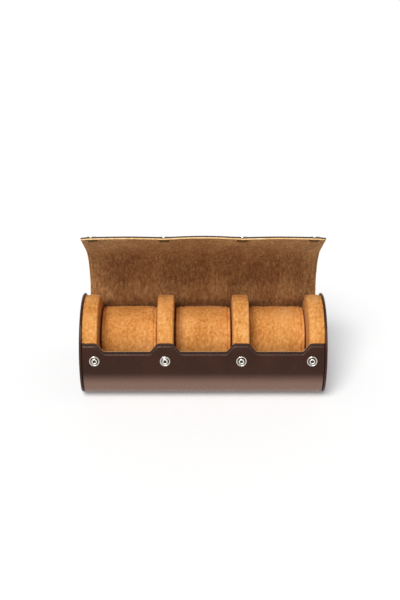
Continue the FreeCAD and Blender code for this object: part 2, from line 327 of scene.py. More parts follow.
def outline(s, inset):
    s = np.asarray(s, float)
    turn = np.select(
        [s < runs[0], s < runs[1], s < runs[2], s < runs[3]],
        [tab - s / body["radius"], footAngle - (s - runs[0]) / body["foot"], -math.pi / 2,
         -math.pi / 2 - (s - runs[2]) / body["foot"]],
        -math.pi - footAngle - (s - runs[3]) / body["radius"])
    big = (s < runs[0]) | (s >= runs[3])
    middleY = np.select([big, s < runs[1], s < runs[2]], [0.0, -footY, -footY + s - runs[1]], footY)
    middleZ = np.where(big, body["axis"], body["foot"])
    radius = np.where(big, body["radius"], body["foot"]) - inset
    return np.stack([middleY - radius * np.cos(turn), middleZ + radius * np.sin(turn)], -1)


def edgeDrop(x):                            # how far the front edge drops below the tab line
    pitch = body["slotPitch"]
    away = np.abs((x + pitch / 2) % pitch - pitch / 2)
    inSlots = np.abs(x) < body["slots"] / 2 * pitch
    t = np.clip((body["notchTop"] - away) / (body["notchTop"] - body["notchHalf"]), 0, 1)
    drop = body["radius"] * math.radians(body["tabAngle"] - body["notchAngle"])
    return np.where(inSlots, drop * ease(t), 0.0)


def thickSheet(name, outer, inner, finish, cutFinish, away, paintTo=0.5):
    # Closed sheet from two grids of points; faces nearer to a cut edge than paintTo get its finish
    nu, nv = outer.shape[:2]
    top = np.arange(nu * nv).reshape(nu, nv)
    low = top + nu * nv
    faces = []
    for grid, turned in ((top, False), (low, True)):
        quads = np.stack([grid[:-1, :-1], grid[1:, :-1], grid[1:, 1:], grid[:-1, 1:]], -1).reshape(-1, 4)
        faces += [tuple(q[::-1] if turned else q) for q in quads.tolist()]
    ring = np.concatenate([top[:, 0], top[-1, 1:], top[-2::-1, -1], top[0, -2:0:-1]])
    ringLow = ring + nu * nv
    rim = np.stack([ring, ringLow, np.roll(ringLow, -1), np.roll(ring, -1)], -1)
    faces += [tuple(q) for q in rim.tolist()]
    far = np.concatenate([np.asarray(away).ravel()] * 2)
    cutFaces = [int(far[list(f)].max() < paintTo) for f in faces]
    verts = np.concatenate([outer.reshape(-1, 3), inner.reshape(-1, 3)])
    return smoothPiece(name, verts, faces, finish, cutFinish=cutFinish, cutFaces=cutFaces)


# Shell: rows run down from the front edge and columns along the roll, both crowded at the cut edges

shell = {
    "round": 0.7, "endTuck": 1.1, "paintTo": 0.85, "stitchIn": 2.7, "grooveDeep": 0.3, "grooveWide": 0.55,
    "wave": 0.16, "waveSize": 38.0, "waveSeed": 1.7, "fade": 10.0,
    "lipRows": [0, 0.08, 0.25, 0.5, 0.8, 1.2, 1.8],  # over the rounded edge, in its radius
    "seamRows": (1.55, 4.25, 15), "edgeRows": (5, 12, 6),  # from, to and how many
    "wallFrom": 12.8, "wallRows": 96,
    "endColumns": [0, 0.08, 0.22, 0.42, 0.65, 0.84, 1.1], "columns": 259,
    "beside": 0.05, "under": 0.4,  # columns at the two sides of the flap's edge
}


def wallSheet(name, insetOut, insetIn, finish, cutFinish, waveDepth=0.0, grooveDeep=0.0):
    half = body["half"]
    ends = np.array(shell["endColumns"])
    beside, under = body["flapHalf"] + shell["beside"], body["flapHalf"] - shell["under"]
    xs = np.concatenate([ends - half, [-beside], np.linspace(-under, under, shell["columns"]), [beside],
                         half - ends[::-1]])
    nearRows = np.concatenate([np.array(shell["lipRows"]) * shell["round"], np.linspace(*shell["seamRows"]),
                               np.linspace(*shell["edgeRows"])])
    wallShares = np.linspace(0, 1, shell["wallRows"])
    outer, inner, away = [], [], []
    for x in xs:
        start = float(edgeDrop(x))
        end = wallEnd if abs(x) > under else backEnd
        deep = np.concatenate([nearRows, nearRows[-1] + wallShares * (end - start - nearRows[-1])])
        deep[len(nearRows)] = shell["wallFrom"]  # clear of the last row of the edge
        s = start + deep
        fall = edgeRound(deep, shell["round"])
        tuck = edgeRound(half - abs(x), shell["endTuck"])
        fade = np.clip(np.minimum(deep, end - s) / shell["fade"], 0, 1)
        wave = np.array([softWave(x, v, shell["waveSize"], shell["waveSeed"]) for v in s]) * waveDepth * fade
        groove = dent(deep - shell["stitchIn"], grooveDeep, shell["grooveWide"])
        out = outline(s, insetOut + fall + tuck + groove - wave)
        inn = outline(s, insetIn - fall)
        outer.append(np.column_stack([np.full(len(s), x), out]))
        inner.append(np.column_stack([np.full(len(s), x), inn]))
        away.append(np.minimum(deep, half - abs(x)))
    return thickSheet(name, np.array(outer), np.array(inner), finish, cutFinish, away, shell["paintTo"])


shellLeather = wallSheet("shellLeather", 0, body["leather"], shellCalf, edgePaintAndBoreShade, shell["wave"],
                         shell["grooveDeep"])
settle(shellLeather, "base", "leather", "shell_leather")
shellLining = wallSheet("shellLining", body["leather"], body["wall"], suedeLaidAndShaded, rawSuede)
settle(shellLining, "base", "suede", "shell_lining", "shell_board")
print("shell: leather and lining")


# Dividers and end panels: the body's section, lofted along X

divider = {"rim": 3.0, "under": 0.25, "side": 6.0, "centre": 18.0, "round": 1.7, "crown": 0.35,
           "seamIn": 2.3, "seamDeep": 0.3, "seamWide": 0.5, "steps": 44,
           "proud": 1.5, "swellFrom": 14.0, "swellRun": 12.2, "frontRun": 16.0}


def loafPiece(name, profile, finish, proud=0.0, count=240):
    # Rings of the section at each (x, inset) of the profile; proud swells them where the top is open
    s = np.linspace(0, roundEnd, count, endpoint=False)
    behind = (s - wallEnd - divider["swellFrom"]) / divider["swellRun"]
    ahead = (roundEnd - s) / divider["frontRun"]
    swell = proud * ease(np.clip(np.minimum(behind, ahead), 0, 1))
    rings = [np.column_stack([np.full(count, x), outline(s, inset - swell)]) for x, inset in profile]
    middles = [np.array([[x, 0, body["axis"]]]) for x in (profile[0][0], profile[-1][0])]
    return smoothPiece(name, np.concatenate(rings + middles), cappedFaces(len(profile), count), finish)


def dividerProfile(x0, x1, roundLeft, roundRight):
    # A crowned rim between two seams, rounded over towards the slots
    side = divider["rim"] + divider["side"]
    profile = [(x0, divider["centre"]), (x0, side)]
    for x in np.linspace(x0, x1, divider["steps"] + 1):
        t = 2 * (x - x0) / (x1 - x0) - 1
        inset = divider["rim"] + divider["under"] + divider["crown"] * t * t
        if roundLeft:
            inset += edgeRound(x - x0, divider["round"])
        if roundRight:
            inset += edgeRound(x1 - x, divider["round"])
        for d in (x - x0, x1 - x):
            inset += dent(d - divider["seamIn"], divider["seamDeep"], divider["seamWide"])
        profile.append((x, float(inset)))
    return profile + [(x1, side), (x1, divider["centre"])]


lastDivider = body["slots"] + 1
for i in range(1, lastDivider + 1):
    low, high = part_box("divider_cover_%d" % i)
    x0, x1 = low.x / mm, high.x / mm
    nodes = ["divider_cover_%d" % i, "divider_core_%d" % i]
    if i == 1:                              # the end dividers' suede runs out to the end panels
        x0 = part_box("end_board_left")[0].x / mm
        nodes.append("end_board_left")
    if i == lastDivider:
        x1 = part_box("end_board_right")[1].x / mm
        nodes.append("end_board_right")
    profile = dividerProfile(x0, x1, i > 1, i < lastDivider)
    cover = loafPiece("dividerCover%d" % i, profile, suede, divider["proud"])
    settle(cover, "base", "suede", *nodes)

endPanel = {
    "round": 1.4, "roundRows": 9, "rise": 0.4, "riseRun": 13.0, "centre": 18.0,
    "faceFrom": 1.7, "faceRows": 48, "stitchIn": 4.6, "stitchDeep": 0.3, "stitchWide": 0.6,
    "lip": [(0, 1.5), (0.12, 0.85), (0.35, 0.36), (0.65, 0.1), (0.95, 0.0)],  # out from the shell, and inset
}


def panelProfile(inside, face):
    # The lip against the shell, the rounded rim, then a face that rises a little behind its sewn groove
    shoulder, r = face - endPanel["rise"], endPanel["round"]
    profile = [(inside, endPanel["centre"])] + [(inside + out, inset) for out, inset in endPanel["lip"]]
    for a in np.linspace(0, math.pi / 2, endPanel["roundRows"]):
        profile.append((shoulder - r * (1 - math.sin(a)), r * (1 - math.cos(a))))
    for inset in np.linspace(endPanel["faceFrom"], endPanel["centre"], endPanel["faceRows"]):
        t = min(1.0, (inset - r) / endPanel["riseRun"])
        groove = dent(inset - endPanel["stitchIn"], endPanel["stitchDeep"], endPanel["stitchWide"])
        profile.append((shoulder + endPanel["rise"] * t * (2 - t) - groove, inset))
    return profile


# Where each end's outer face lies along X
panelFaces = {-1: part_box("end_leather_left")[0].x / mm, 1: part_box("end_leather_right")[1].x / mm}
for name, side in (("Left", -1), ("Right", 1)):
    profile = [(side * x, inset) for x, inset in panelProfile(body["half"], panelFaces[side] * side)]
    panel = loafPiece("endPanel" + name, profile, leather)
    settle(panel, "base", "leather", "end_leather_" + name.lower())
print("dividers and end panels")


# Flap: one smooth line through the bend lines, then round the edge strip; s runs from its root

flap = {
    "half": body["flapHalf"], "corner": 10.5, "leather": 1.0, "lining": 1.3,
    "edgeRadius": 53.6, "strip": 24.0, "edgeAngle": 1.0, "snapAngle": 16.5, "snapIn": 9.8,
    "rootRadius": 49.65, "rootRun": 10.0, "taperRun": 21.0, "bend": 8.0, "lastBend": 4.0,
    "lineStep": 0.25, "lineBefore": 30.0, "lineAfter": 14.0, "soften": 5.5, "softenTimes": 2,
    "rootOut": 0.55, "out": 1.15, "rootIn": -2.6, "in": -1.15,  # lifts of its two faces from the line
    "hem": 14.0, "hemRun": 4.0, "hemThick": 0.3,
    "wave": 0.3, "waveSize": 46.0, "waveSeed": 8.3, "waveRun": 40.0,
    "bowMid": 1.3, "bowSide": 0.5, "bowCorner": 1.1, "cornerPower": 1.4, "bowFrom": 70.0,
    "stitchIn": 2.7, "grooveDeep": 0.25, "grooveWide": 0.55, "liningGroove": 0.6, "roundShare": 0.42,
    "rowPitch": 1.1, "rowGap": 0.4, "columns": 103, "columnsIn": 9.0,
    "sideColumns": [0, 0.06, 0.18, 0.35, 0.6, 1, 1.5, 1.9, 2.3, 2.7, 3.1, 3.5, 4, 5, 6.5],
    "edgeRows": [5.6, 5.1, 4.5, 4, 3.5, 3.1, 2.7, 2.3, 1.9, 1.5, 1.1, 0.75, 0.5, 0.3, 0.15, 0.05, 0],
}
snapMid, snapEnd = body["slotPitch"] / 2, flap["half"] - flap["snapIn"]
snapX = [-snapEnd, -snapMid, snapMid, snapEnd]
foldNames = ["flap_fold"] + ["flap_flex_%d" % k for k in range(2, 6)] + ["flap_edge_lift"]
foldPoints = [np.array(joints[n]["pos_m"][1:]) / mm for n in foldNames]
ratios = {c["joint"]: c["ratio"] for c in frame["record"]["behaviour"]["couplings"]}
closing = [joints["flap_fold"]["range_deg"][0] * ratios.get(n, 1.0) for n in foldNames[:-1]]
closing.append(joints["flap_edge_lift"]["range_deg"][0])
openTurn = -sum(closing)                    # degrees that the edge strip turns from closed to open
stripAngle = flap["edgeAngle"] + math.degrees(flap["strip"] / flap["edgeRadius"])
rollAxis = np.array([0, body["axis"]])


def wayAt(angle):                           # unit step out from the roll's axis, 0 forward and 90 up
    a = np.radians(angle)
    return np.stack([-np.cos(a), np.sin(a)], -1)


stripCentre = foldPoints[-1] + flap["edgeRadius"] * wayAt(stripAngle + 180 + openTurn)
foldSteps = [np.linalg.norm(b - a) for a, b in zip(foldPoints, foldPoints[1:])]
foldPlaces = np.concatenate([[0], np.cumsum(foldSteps)])
flapLength = float(foldPlaces[-1] + flap["strip"])


def rawFlapPoint(s):
    if s < 0:                               # the shell's own curve, to run on from
        r = flap["rootRadius"]
        return rollAxis + r * wayAt(body["backAngle"] - math.degrees(s / r))
    if s > foldPlaces[-1]:
        turned = math.degrees((s - foldPlaces[-1]) / flap["edgeRadius"])
        return stripCentre + flap["edgeRadius"] * wayAt(stripAngle - turned + openTurn)
    return np.array([np.interp(s, foldPlaces, [p[i] for p in foldPoints]) for i in (0, 1)])


lineS = np.arange(-flap["lineBefore"], flapLength + flap["lineAfter"], flap["lineStep"])
linePoints = np.array([rawFlapPoint(s) for s in lineS])
window = np.ones(int(2 * flap["soften"] / flap["lineStep"]) + 1)
window /= window.sum()
for _ in range(flap["softenTimes"]):        # rounds the bend lines off
    linePoints = np.stack([np.convolve(np.pad(linePoints[:, i], len(window) // 2, mode="reflect",
                                              reflect_type="odd"), window, "valid") for i in (0, 1)], -1)
lineWays = np.gradient(linePoints, axis=0)
lineWays /= np.linalg.norm(lineWays, axis=1)[:, None]
lineOuts = np.stack([lineWays[:, 1], -lineWays[:, 0]], -1)


def flapPoint(s, lift):
    s = np.asarray(s, float)
    p = np.stack([np.interp(s, lineS, linePoints[:, i]) for i in (0, 1)], -1)
    n = np.stack([np.interp(s, lineS, lineOuts[:, i]) for i in (0, 1)], -1)
    return p + n * np.asarray(lift)[..., None]


def flapHalf(s):                            # half width, drawn in round the free corners
    past = np.clip(s - (flapLength - flap["corner"]), 0, flap["corner"])
    return flap["half"] - flap["corner"] + np.sqrt(flap["corner"] ** 2 - past ** 2)


def edgeAway(x, s):                         # distance from the flap's sides and free edge
    side, end = flap["half"] - abs(x), flapLength - s
    if side < flap["corner"] and end < flap["corner"]:
        return flap["corner"] - math.hypot(flap["corner"] - side, flap["corner"] - end)
    return min(side, end)


def layerLifts(s):                          # leather's outside, the join and the lining's inside
    outside = flap["rootOut"] + (flap["out"] - flap["rootOut"]) * ease(np.clip(s / flap["rootRun"], 0, 1))
    inside = flap["rootIn"] + (flap["in"] - flap["rootIn"]) * ease(np.clip(s / flap["taperRun"], 0, 1))
    thin = np.clip(-s / flap["hemRun"], 0, 1)  # the lining's hem thins out inside the shell
    join = (outside - flap["leather"]) * (1 - thin) + (inside + flap["hemThick"]) * thin
    return outside, join, inside


def flapWave(x, s):
    # Leather that lifts a little between the snaps and droops at its corners, and is never quite flat
    x = abs(x)
    if x < snapMid:
        bow = flap["bowMid"] * math.cos(math.pi / 2 * x / snapMid)
    elif x < snapEnd:
        bow = flap["bowSide"] * math.sin(math.pi * (x - snapMid) / (snapEnd - snapMid))
    else:
        bow = -flap["bowCorner"] * ((x - snapEnd) / (flap["half"] - snapEnd)) ** flap["cornerPower"]
    t = min(1.0, max(0.0, (s - flap["bowFrom"]) / (flapLength - flap["bowFrom"])))
    grown = min(1.0, max(0.0, s / flap["waveRun"]))
    return bow * t * t + flap["wave"] * softWave(x, s, flap["waveSize"], flap["waveSeed"]) * grown


def flapSheet(name, s0, s1, layer, finish, cutFinish):
    rows = np.linspace(s0, s1, int((s1 - s0) / flap["rowPitch"]) + 2)
    if s1 >= flapLength:                    # crowd the rows towards the free edge
        near = flapLength - np.array(flap["edgeRows"])
        rows = np.concatenate([rows[rows < near[0] - flap["rowGap"]], near])
    sides = np.array(flap["sideColumns"]) / flap["half"]
    middle = 1 - flap["columnsIn"] / flap["half"]
    shares = np.concatenate([sides - 1, np.linspace(-middle, middle, flap["columns"]), 1 - sides[::-1]])
    outer, inner, away = [], [], []
    for share in shares:
        top, low, fars = [], [], []
        for s in rows:
            x = share * float(flapHalf(s))
            outside, join, inside = layerLifts(s)
            d = max(edgeAway(x, s), 0)
            fall = float(edgeRound(d, flap["roundShare"] * flap[layer]))
            groove = dent(d - flap["stitchIn"], flap["grooveDeep"], flap["grooveWide"])
            if layer == "leather":
                up, down = outside - fall - groove, join + fall
            else:
                up, down = join - fall, inside + fall + flap["liningGroove"] * groove
            wave = flapWave(x, s)
            top.append((x, *flapPoint(s, up + wave)))
            low.append((x, *flapPoint(s, down + wave)))
            fars.append(d)
        outer.append(top)
        inner.append(low)
        away.append(fars)
    return thickSheet(name, np.array(outer), np.array(inner), finish, cutFinish, away)


strips = ["1", "2", "3", "4", "5", "Edge"]
flapCuts = [0.0] + [(a + b) / 2 for a, b in zip(foldPlaces[:-1], foldPlaces[1:])] + [flapLength]


def bendPiece(obj, k, slot, *nodes):        # keeps its place as built and hides the CAD nodes that it stands for
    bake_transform(obj)
    if nodes:
        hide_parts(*nodes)


for k, tag in enumerate(strips):
    for layer, finish, cutFinish, slot, tuck in (("leather", leather, edgePaintAndBoreShade, "leather", body["rootTuck"]),
                                                 ("lining", suedeLaidAndShaded, rawSuede, "suede", flap["hem"])):
        start = flapCuts[k] if k else -tuck  # the first strip runs on from the wall
        sheetPiece = flapSheet("flap" + layer.title() + tag, start, flapCuts[k + 1], layer, finish, cutFinish)
        bendPiece(sheetPiece, k, slot, "flap_%s_%s" % (layer, tag.lower()))
print("flap: length %.1f mm, opened %.1f degrees" % (flapLength, openTurn))


# Rows of stitches and snaps: one tree sets a made piece on points

def rowTree():
    tree = bpy.data.node_groups.new("sewn row", "GeometryNodeTree")
    takes = {"Points": "Geometry", "Piece": "Object", "Size": "Float", "Finish": "Material"}
    for name, kind in takes.items():
        tree.interface.new_socket(name=name, in_out="INPUT", socket_type="NodeSocket" + kind)
    tree.interface.new_socket(name="Row", in_out="OUTPUT", socket_type="NodeSocketGeometry")
    given = addNode(tree, "NodeGroupInput")
    out = addNode(tree, "GeometryNodeInputNamedAttribute", {"data_type": "FLOAT_VECTOR"}, {"Name": "out"})
    along = addNode(tree, "GeometryNodeInputNamedAttribute", {"data_type": "FLOAT_VECTOR"}, {"Name": "along"})
    stand = addNode(tree, "FunctionNodeAlignRotationToVector", {"axis": "Z"}, {
        "Vector": out.outputs["Attribute"]})
    turn = addNode(tree, "FunctionNodeAlignRotationToVector", {"axis": "X", "pivot_axis": "Z"}, {
        "Rotation": stand.outputs["Rotation"], "Vector": along.outputs["Attribute"]})
    made = addNode(tree, "GeometryNodeObjectInfo", inputs={"Object": given.outputs["Piece"]})
    placed = addNode(tree, "GeometryNodeInstanceOnPoints", inputs={
        "Points": given.outputs["Points"], "Instance": made.outputs["Geometry"],
        "Rotation": turn.outputs["Rotation"], "Scale": given.outputs["Size"]})
    real = addNode(tree, "GeometryNodeRealizeInstances", inputs={"Geometry": placed.outputs["Instances"]})
    coat = addNode(tree, "GeometryNodeSetMaterial", inputs={
        "Geometry": real.outputs["Geometry"], "Material": given.outputs["Finish"]})
    addNode(tree, "NodeGroupOutput", inputs={"Row": coat.outputs["Geometry"]})
    return tree


sewnRow = rowTree()
sewnSockets = {i.name: i.identifier for i in sewnRow.interface.items_tree if i.in_out == "INPUT"}


def setRow(name, places, piece, finish):    # places hold a point, the way out and the way along, in mm
    mesh = bpy.data.meshes.new(name)
    mesh.from_pydata([tuple(np.array(p) * mm) for p, _, _ in places], [], [])
    for key, index in (("out", 1), ("along", 2)):
        ways = mesh.attributes.new(key, "FLOAT_VECTOR", "POINT")
        ways.data.foreach_set("vector", np.array([p[index] for p in places], np.float32).ravel())
    obj = bpy.data.objects.new(name, mesh)
    scene.collection.objects.link(obj)
    modifier = obj.modifiers.new("row", "NODES")
    modifier.node_group = sewnRow
    modifier[sewnSockets["Piece"]] = piece
    modifier[sewnSockets["Size"]] = 1.0
    modifier[sewnSockets["Finish"]] = finish
    graph = bpy.context.evaluated_depsgraph_get()
    plain = bpy.data.meshes.new_from_object(obj.evaluated_get(graph))
    obj.modifiers.clear()
    obj.data = plain
    for key in ("out", "along"):
        if key in plain.attributes:
            plain.attributes.remove(plain.attributes[key])
    plain.shade_smooth()
    plain.set_sharp_from_angle(angle=math.radians(creaseAngle))
    return obj


def turnedShape(name, profile, count=40):   # profile of (radius, height) from the rim to the middle
    turns = [2 * math.pi * k / count for k in range(count)]
    verts = [(r * math.cos(a), r * math.sin(a), h) for r, h in profile[:-1] for a in turns]
    verts.append((0, 0, profile[-1][1]))
    faces = ringFaces(len(profile) - 1, count)
    last = (len(profile) - 2) * count
    faces += [(last + k, last + (k + 1) % count, len(verts) - 1) for k in range(count)]
    faces.append(tuple(range(count))[::-1])
    shape = smoothPiece(name, verts, faces, nickel)
    scene.collection.objects.unlink(shape)
    return shape


snap = {
    "cap": [(5.2, -0.25), (5.2, 0.3), (5.12, 0.52), (4.9, 0.7), (4.5, 0.84), (3.6, 1.02), (2.4, 1.16),
            (1.2, 1.23), (0, 1.25)],
    "stud": [(4.8, -0.3), (4.8, 0.25), (4.72, 0.5), (4.5, 0.66), (4.15, 0.66), (3.9, 0.5), (3.7, 0.2),
             (3.5, -0.1), (3.1, -0.2), (2.8, -0.1), (2.72, 0.3), (2.72, 1.3), (2.62, 1.62), (2.35, 1.84),
             (2.0, 1.9), (1.65, 1.84), (1.4, 1.6), (1.3, 1.2), (1.25, 0.3), (0, 0.2)],
    "eye": [(1.5, 0.6), (1.5, 1.2), (0, 1.15)],  # a dark disc in the stud's middle: painted shade for its bore
    "socket": [(4.8, -0.3), (4.8, 0.9), (4.68, 1.18), (4.4, 1.36), (4.0, 1.4), (3.55, 1.36), (3.3, 1.2),
               (3.2, 1.0), (3.2, 0.2), (3.0, 0.12), (0, 0.1)],
}
stripOut = wayAt(flap["snapAngle"] + openTurn)
studOut = wayAt(flap["snapAngle"])
stripMiddle = float(foldPlaces[-1] + flap["edgeRadius"] * math.radians(stripAngle - flap["snapAngle"]))
studPlace = rollAxis + body["radius"] * studOut
snapPlaces = {"cap": [], "socket": [], "stud": [], "eye": []}
for x in snapX:
    along = (1.0, 0.0, 0.0)
    wave = flapWave(x, stripMiddle)
    snapPlaces["cap"].append(((x, *flapPoint(stripMiddle, flap["out"] + wave)), (0, *stripOut), along))
    snapPlaces["socket"].append(((x, *flapPoint(stripMiddle, flap["in"] + wave)), (0, *-stripOut), along))
    for key in ("stud", "eye"):
        snapPlaces[key].append(((x, *studPlace), (0, *studOut), along))
for name, key, finish, rider, nodes in (("snapCaps", "cap", nickel, "flap_edge", ["snap_caps"]),
                                        ("snapSockets", "socket", oldBrass, "flap_edge", ["snap_sockets"]),
                                        ("snapStuds", "stud", nickel, "base", ["snap_studs", "stud_rivets"]),
                                        # The studs' dark discs are painted shade for their bores
                                        ("studEyes", "eye", edgePaintAndBoreShade, "base", [])):
    row = setRow(name, snapPlaces[key], turnedShape(key + "Shape", snap[key]), finish)
    settle(row, rider, "nickel", *nodes)
print("snaps: caps, sockets and studs")


# Stitches: a ring's place along the thread, its size and its rise are shares of the stitch

stitch = {
    "pitch": 3.3, "long": 2.5, "wide": 0.62, "high": 0.5, "sides": 6, "crease": 80, "proud": 0.05,
    "look": 0.4,                            # how far each way a stitch looks for its direction
    "rings": [(-0.5, 0.35, -0.5), (-0.42, 0.85, -0.1), (-0.2, 1.0, 0.1), (0.2, 1.0, 0.1), (0.42, 0.85, -0.1),
              (0.5, 0.35, -0.5)],
}


def stitchShape():                          # a short thread that dives in at both ends
    count, rings = stitch["sides"], stitch["rings"]
    verts = []
    for share, size, rise in rings:
        for a in [2 * math.pi * k / count for k in range(count)]:
            verts.append((share * stitch["long"], size * stitch["wide"] / 2 * math.cos(a),
                          stitch["high"] / 2 * (size * math.sin(a) + rise)))
    faces = ringFaces(len(rings), count)
    faces += [tuple(range(count))[::-1], tuple(range((len(rings) - 1) * count, len(rings) * count))]
    shape = smoothPiece("stitchShape", verts, faces, darkThread, stitch["crease"])
    scene.collection.objects.unlink(shape)
    return shape


oneStitch = stitchShape()


def alongPath(points, outs, closed=False):  # even stitch places on a path of close points
    points, outs = np.array(points), np.array(outs)
    if closed:
        points, outs = np.vstack([points, points[:1]]), np.vstack([outs, outs[:1]])
    lengths = np.concatenate([[0], np.cumsum(np.linalg.norm(np.diff(points, axis=0), axis=1))])
    whole = lengths[-1]
    count = max(1, round(whole / stitch["pitch"]))

    def at(d, values):
        return np.array([np.interp(d, lengths, values[:, i]) for i in range(3)])

    places = []
    for d in (np.arange(count) + 0.5) * whole / count:
        n = at(d, outs)
        n /= np.linalg.norm(n)
        way = at(min(d + stitch["look"], whole), points) - at(max(d - stitch["look"], 0), points)
        places.append((at(d, points) + n * stitch["proud"], n, way / np.linalg.norm(way)))
    return places


def outAcross(s):                           # the wall's way out
    return (0, *(outline(s, 0.0) - outline(s, 1.0)))


frontRow = {"half": 110.0, "deep": 0.2, "samples": 1200}
xs = np.linspace(-frontRow["half"], frontRow["half"], frontRow["samples"])
frontS = [float(edgeDrop(x)) + shell["stitchIn"] for x in xs]
frontPoints = [(x, *outline(s, frontRow["deep"])) for x, s in zip(xs, frontS)]
frontPlaces = alongPath(frontPoints, [outAcross(s) for s in frontS])
settle(setRow("frontStitches", frontPlaces, oneStitch, darkThread), "base", "leather")

panelRow = {"deep": 0.36, "samples": 900}
panelS = np.linspace(0, roundEnd, panelRow["samples"], endpoint=False)
panelPlaces = []
for side, face in panelFaces.items():
    points = [(face - side * panelRow["deep"], *outline(s, endPanel["stitchIn"])) for s in panelS]
    panelPlaces += alongPath(points, [(side, 0, 0)] * len(panelS), True)
settle(setRow("panelStitches", panelPlaces, oneStitch, darkThread), "base", "leather")

flapSeam = {"deep": 0.2, "from": 3.0, "sideSamples": 40, "cornerSamples": 12, "edgeSamples": 300}


def flapRow(s0, s1, outside):
    # Side rows up to the cut, and round the free edge on the last strip
    lift, sign = (0, 1) if outside else (2, -1)
    inner = flap["half"] - flap["stitchIn"]

    def spot(x, s):
        s = float(s)
        p = flapPoint(s, layerLifts(s)[lift] + flapWave(x, s) - sign * flapSeam["deep"])
        n = flapPoint(s, 1.0) - flapPoint(s, 0.0)
        return (x, *p), (0, *(sign * n))

    if s1 < flapLength:
        sideS = np.linspace(max(s0, flapSeam["from"]), s1, flapSeam["sideSamples"])
        lines = [[(side * inner, s) for s in sideS] for side in (-1, 1)]
    else:
        r = flap["corner"] - flap["stitchIn"]
        cornerX, cornerS = flap["half"] - flap["corner"], flapLength - flap["corner"]
        turns = np.linspace(0, math.pi / 2, flapSeam["cornerSamples"])[1:-1]
        line = [(-inner, s) for s in np.linspace(s0, cornerS, flapSeam["sideSamples"])]
        line += [(-cornerX - r * math.cos(a), cornerS + r * math.sin(a)) for a in turns]
        line += [(x, cornerS + r) for x in np.linspace(-cornerX, cornerX, flapSeam["edgeSamples"])]
        line += [(cornerX + r * math.sin(a), cornerS + r * math.cos(a)) for a in turns]
        line += [(inner, s) for s in np.linspace(cornerS, s0, flapSeam["sideSamples"])]
        lines = [line]
    rows = [[spot(x, s) for x, s in line] for line in lines]
    return [place for row in rows for place in alongPath([p for p, _ in row], [n for _, n in row])]


for k, tag in enumerate(strips):
    for side, finish, slot in (("Outside", darkThread, "leather"), ("Inside", tanThread, "suede")):
        places = flapRow(flapCuts[k], flapCuts[k + 1], side == "Outside")
        bendPiece(setRow("flapStitches" + side + tag, places, oneStitch, finish), k, slot)
print("stitches sewn")


# Cushions: a crowned pillow with a seam near each end, blown up as cloth between its seams

cushion = {
    "square": 2.4, "crown": 0.014, "crownPower": 3, "start": 0.994, "crease": 80,
    "round": 96, "roundSamples": 721, "rows": 25, "rowPower": 0.85,
    "seamIn": 2.6, "seamDeep": 0.9, "seamWide": 0.7, "seamHold": 0.1,
    "ends": [(0.3, 0.973), (0.55, 0.966), (0.8, 0.948), (0.93, 0.85), (0.97, 0.62), (0.99, 0.4), (1.0, 0.2)],
    "cloth": {"quality": 6, "mass": 0.15, "tension_stiffness": 12, "compression_stiffness": 12,
              "bending_stiffness": 0.4, "use_pressure": True, "uniform_pressure_force": 4.0,
              "vertex_group_mass": "seam", "shrink_min": -0.03},
    "frames": 20, "cap": 0.8, "fill": 0.8,
    "nap": 0.18, "napSize": 11.0, "napSeed": 2.0, "sideRoom": 0.9, "clear": 0.35,
}


def cushionRing(halfY, halfZ):              # a squarish ring of evenly spaced points
    a = np.linspace(0, 2 * math.pi, cushion["roundSamples"])
    power = 2 / cushion["square"]
    y = halfY * np.sign(np.cos(a)) * np.abs(np.cos(a)) ** power
    z = halfZ * np.sign(np.sin(a)) * np.abs(np.sin(a)) ** power
    gone = np.concatenate([[0], np.cumsum(np.hypot(np.diff(y), np.diff(z)))])
    even = np.linspace(0, gone[-1], cushion["round"], endpoint=False)
    return np.column_stack([np.interp(even, gone, y), np.interp(even, gone, z)])


def cushionStart(name, low, high):
    # Rings across the band, then the two end panels closing to their middles
    middle, half = (low + high) / 2, (high - low) / 2
    seam = half[0] - cushion["seamIn"]
    count = cushion["round"]
    shares = np.linspace(-1, 1, cushion["rows"])
    band = np.sign(shares) * np.abs(shares) ** cushion["rowPower"] * seam
    crowns = 1 - cushion["crown"] * (np.abs(band) / half[0]) ** cushion["crownPower"]
    ends = [(seam + cushion["seamIn"] * out, size) for out, size in cushion["ends"]]
    rings = [(-x, f) for x, f in reversed(ends)] + list(zip(band, crowns * cushion["start"])) + ends
    verts = [(x + middle[0], *(ring + middle[1:])) for x, f in rings
             for ring in cushionRing(half[1] * f, half[2] * f)]
    verts += [(x + middle[0], *middle[1:]) for x in (rings[0][0], rings[-1][0])]
    obj = smoothPiece(name, verts, cappedFaces(len(rings), count), suede, cushion["crease"])
    held = obj.vertex_groups.new(name=cushion["cloth"]["vertex_group_mass"])
    for i, (x, _) in enumerate(rings):
        if abs(x) > seam - cushion["seamHold"]:
            held.add(list(range(i * count, (i + 1) * count)), 1.0, "REPLACE")
    held.add([len(rings) * count, len(rings) * count + 1], 1.0, "REPLACE")
    return obj


def blowUp(pads):
    starts = []
    for pad in pads:
        starts.append(np.array([v.co for v in pad.data.vertices]))
        cloth = pad.modifiers.new("cloth", "CLOTH")
        for key, value in cushion["cloth"].items():
            setattr(cloth.settings, key, value)
        cloth.settings.effector_weights.gravity = 0
        cloth.point_cache.frame_start, cloth.point_cache.frame_end = 1, cushion["frames"]
    for f in range(1, cushion["frames"] + 1):
        scene.frame_set(f)
    graph = bpy.context.evaluated_depsgraph_get()
    ends = [np.array([v.co for v in pad.evaluated_get(graph).data.vertices]) for pad in pads]
    for pad, start, end in zip(pads, starts, ends):
        pad.modifiers.clear()
        move = end - start
        far = np.linalg.norm(move, axis=1)[:, None]
        move *= np.minimum(1.0, cushion["cap"] * mm / np.maximum(far, tiny))
        pad.data.vertices.foreach_set("co", (start + move).astype(np.float32).ravel())
        pad.data.update()
    scene.frame_set(1)


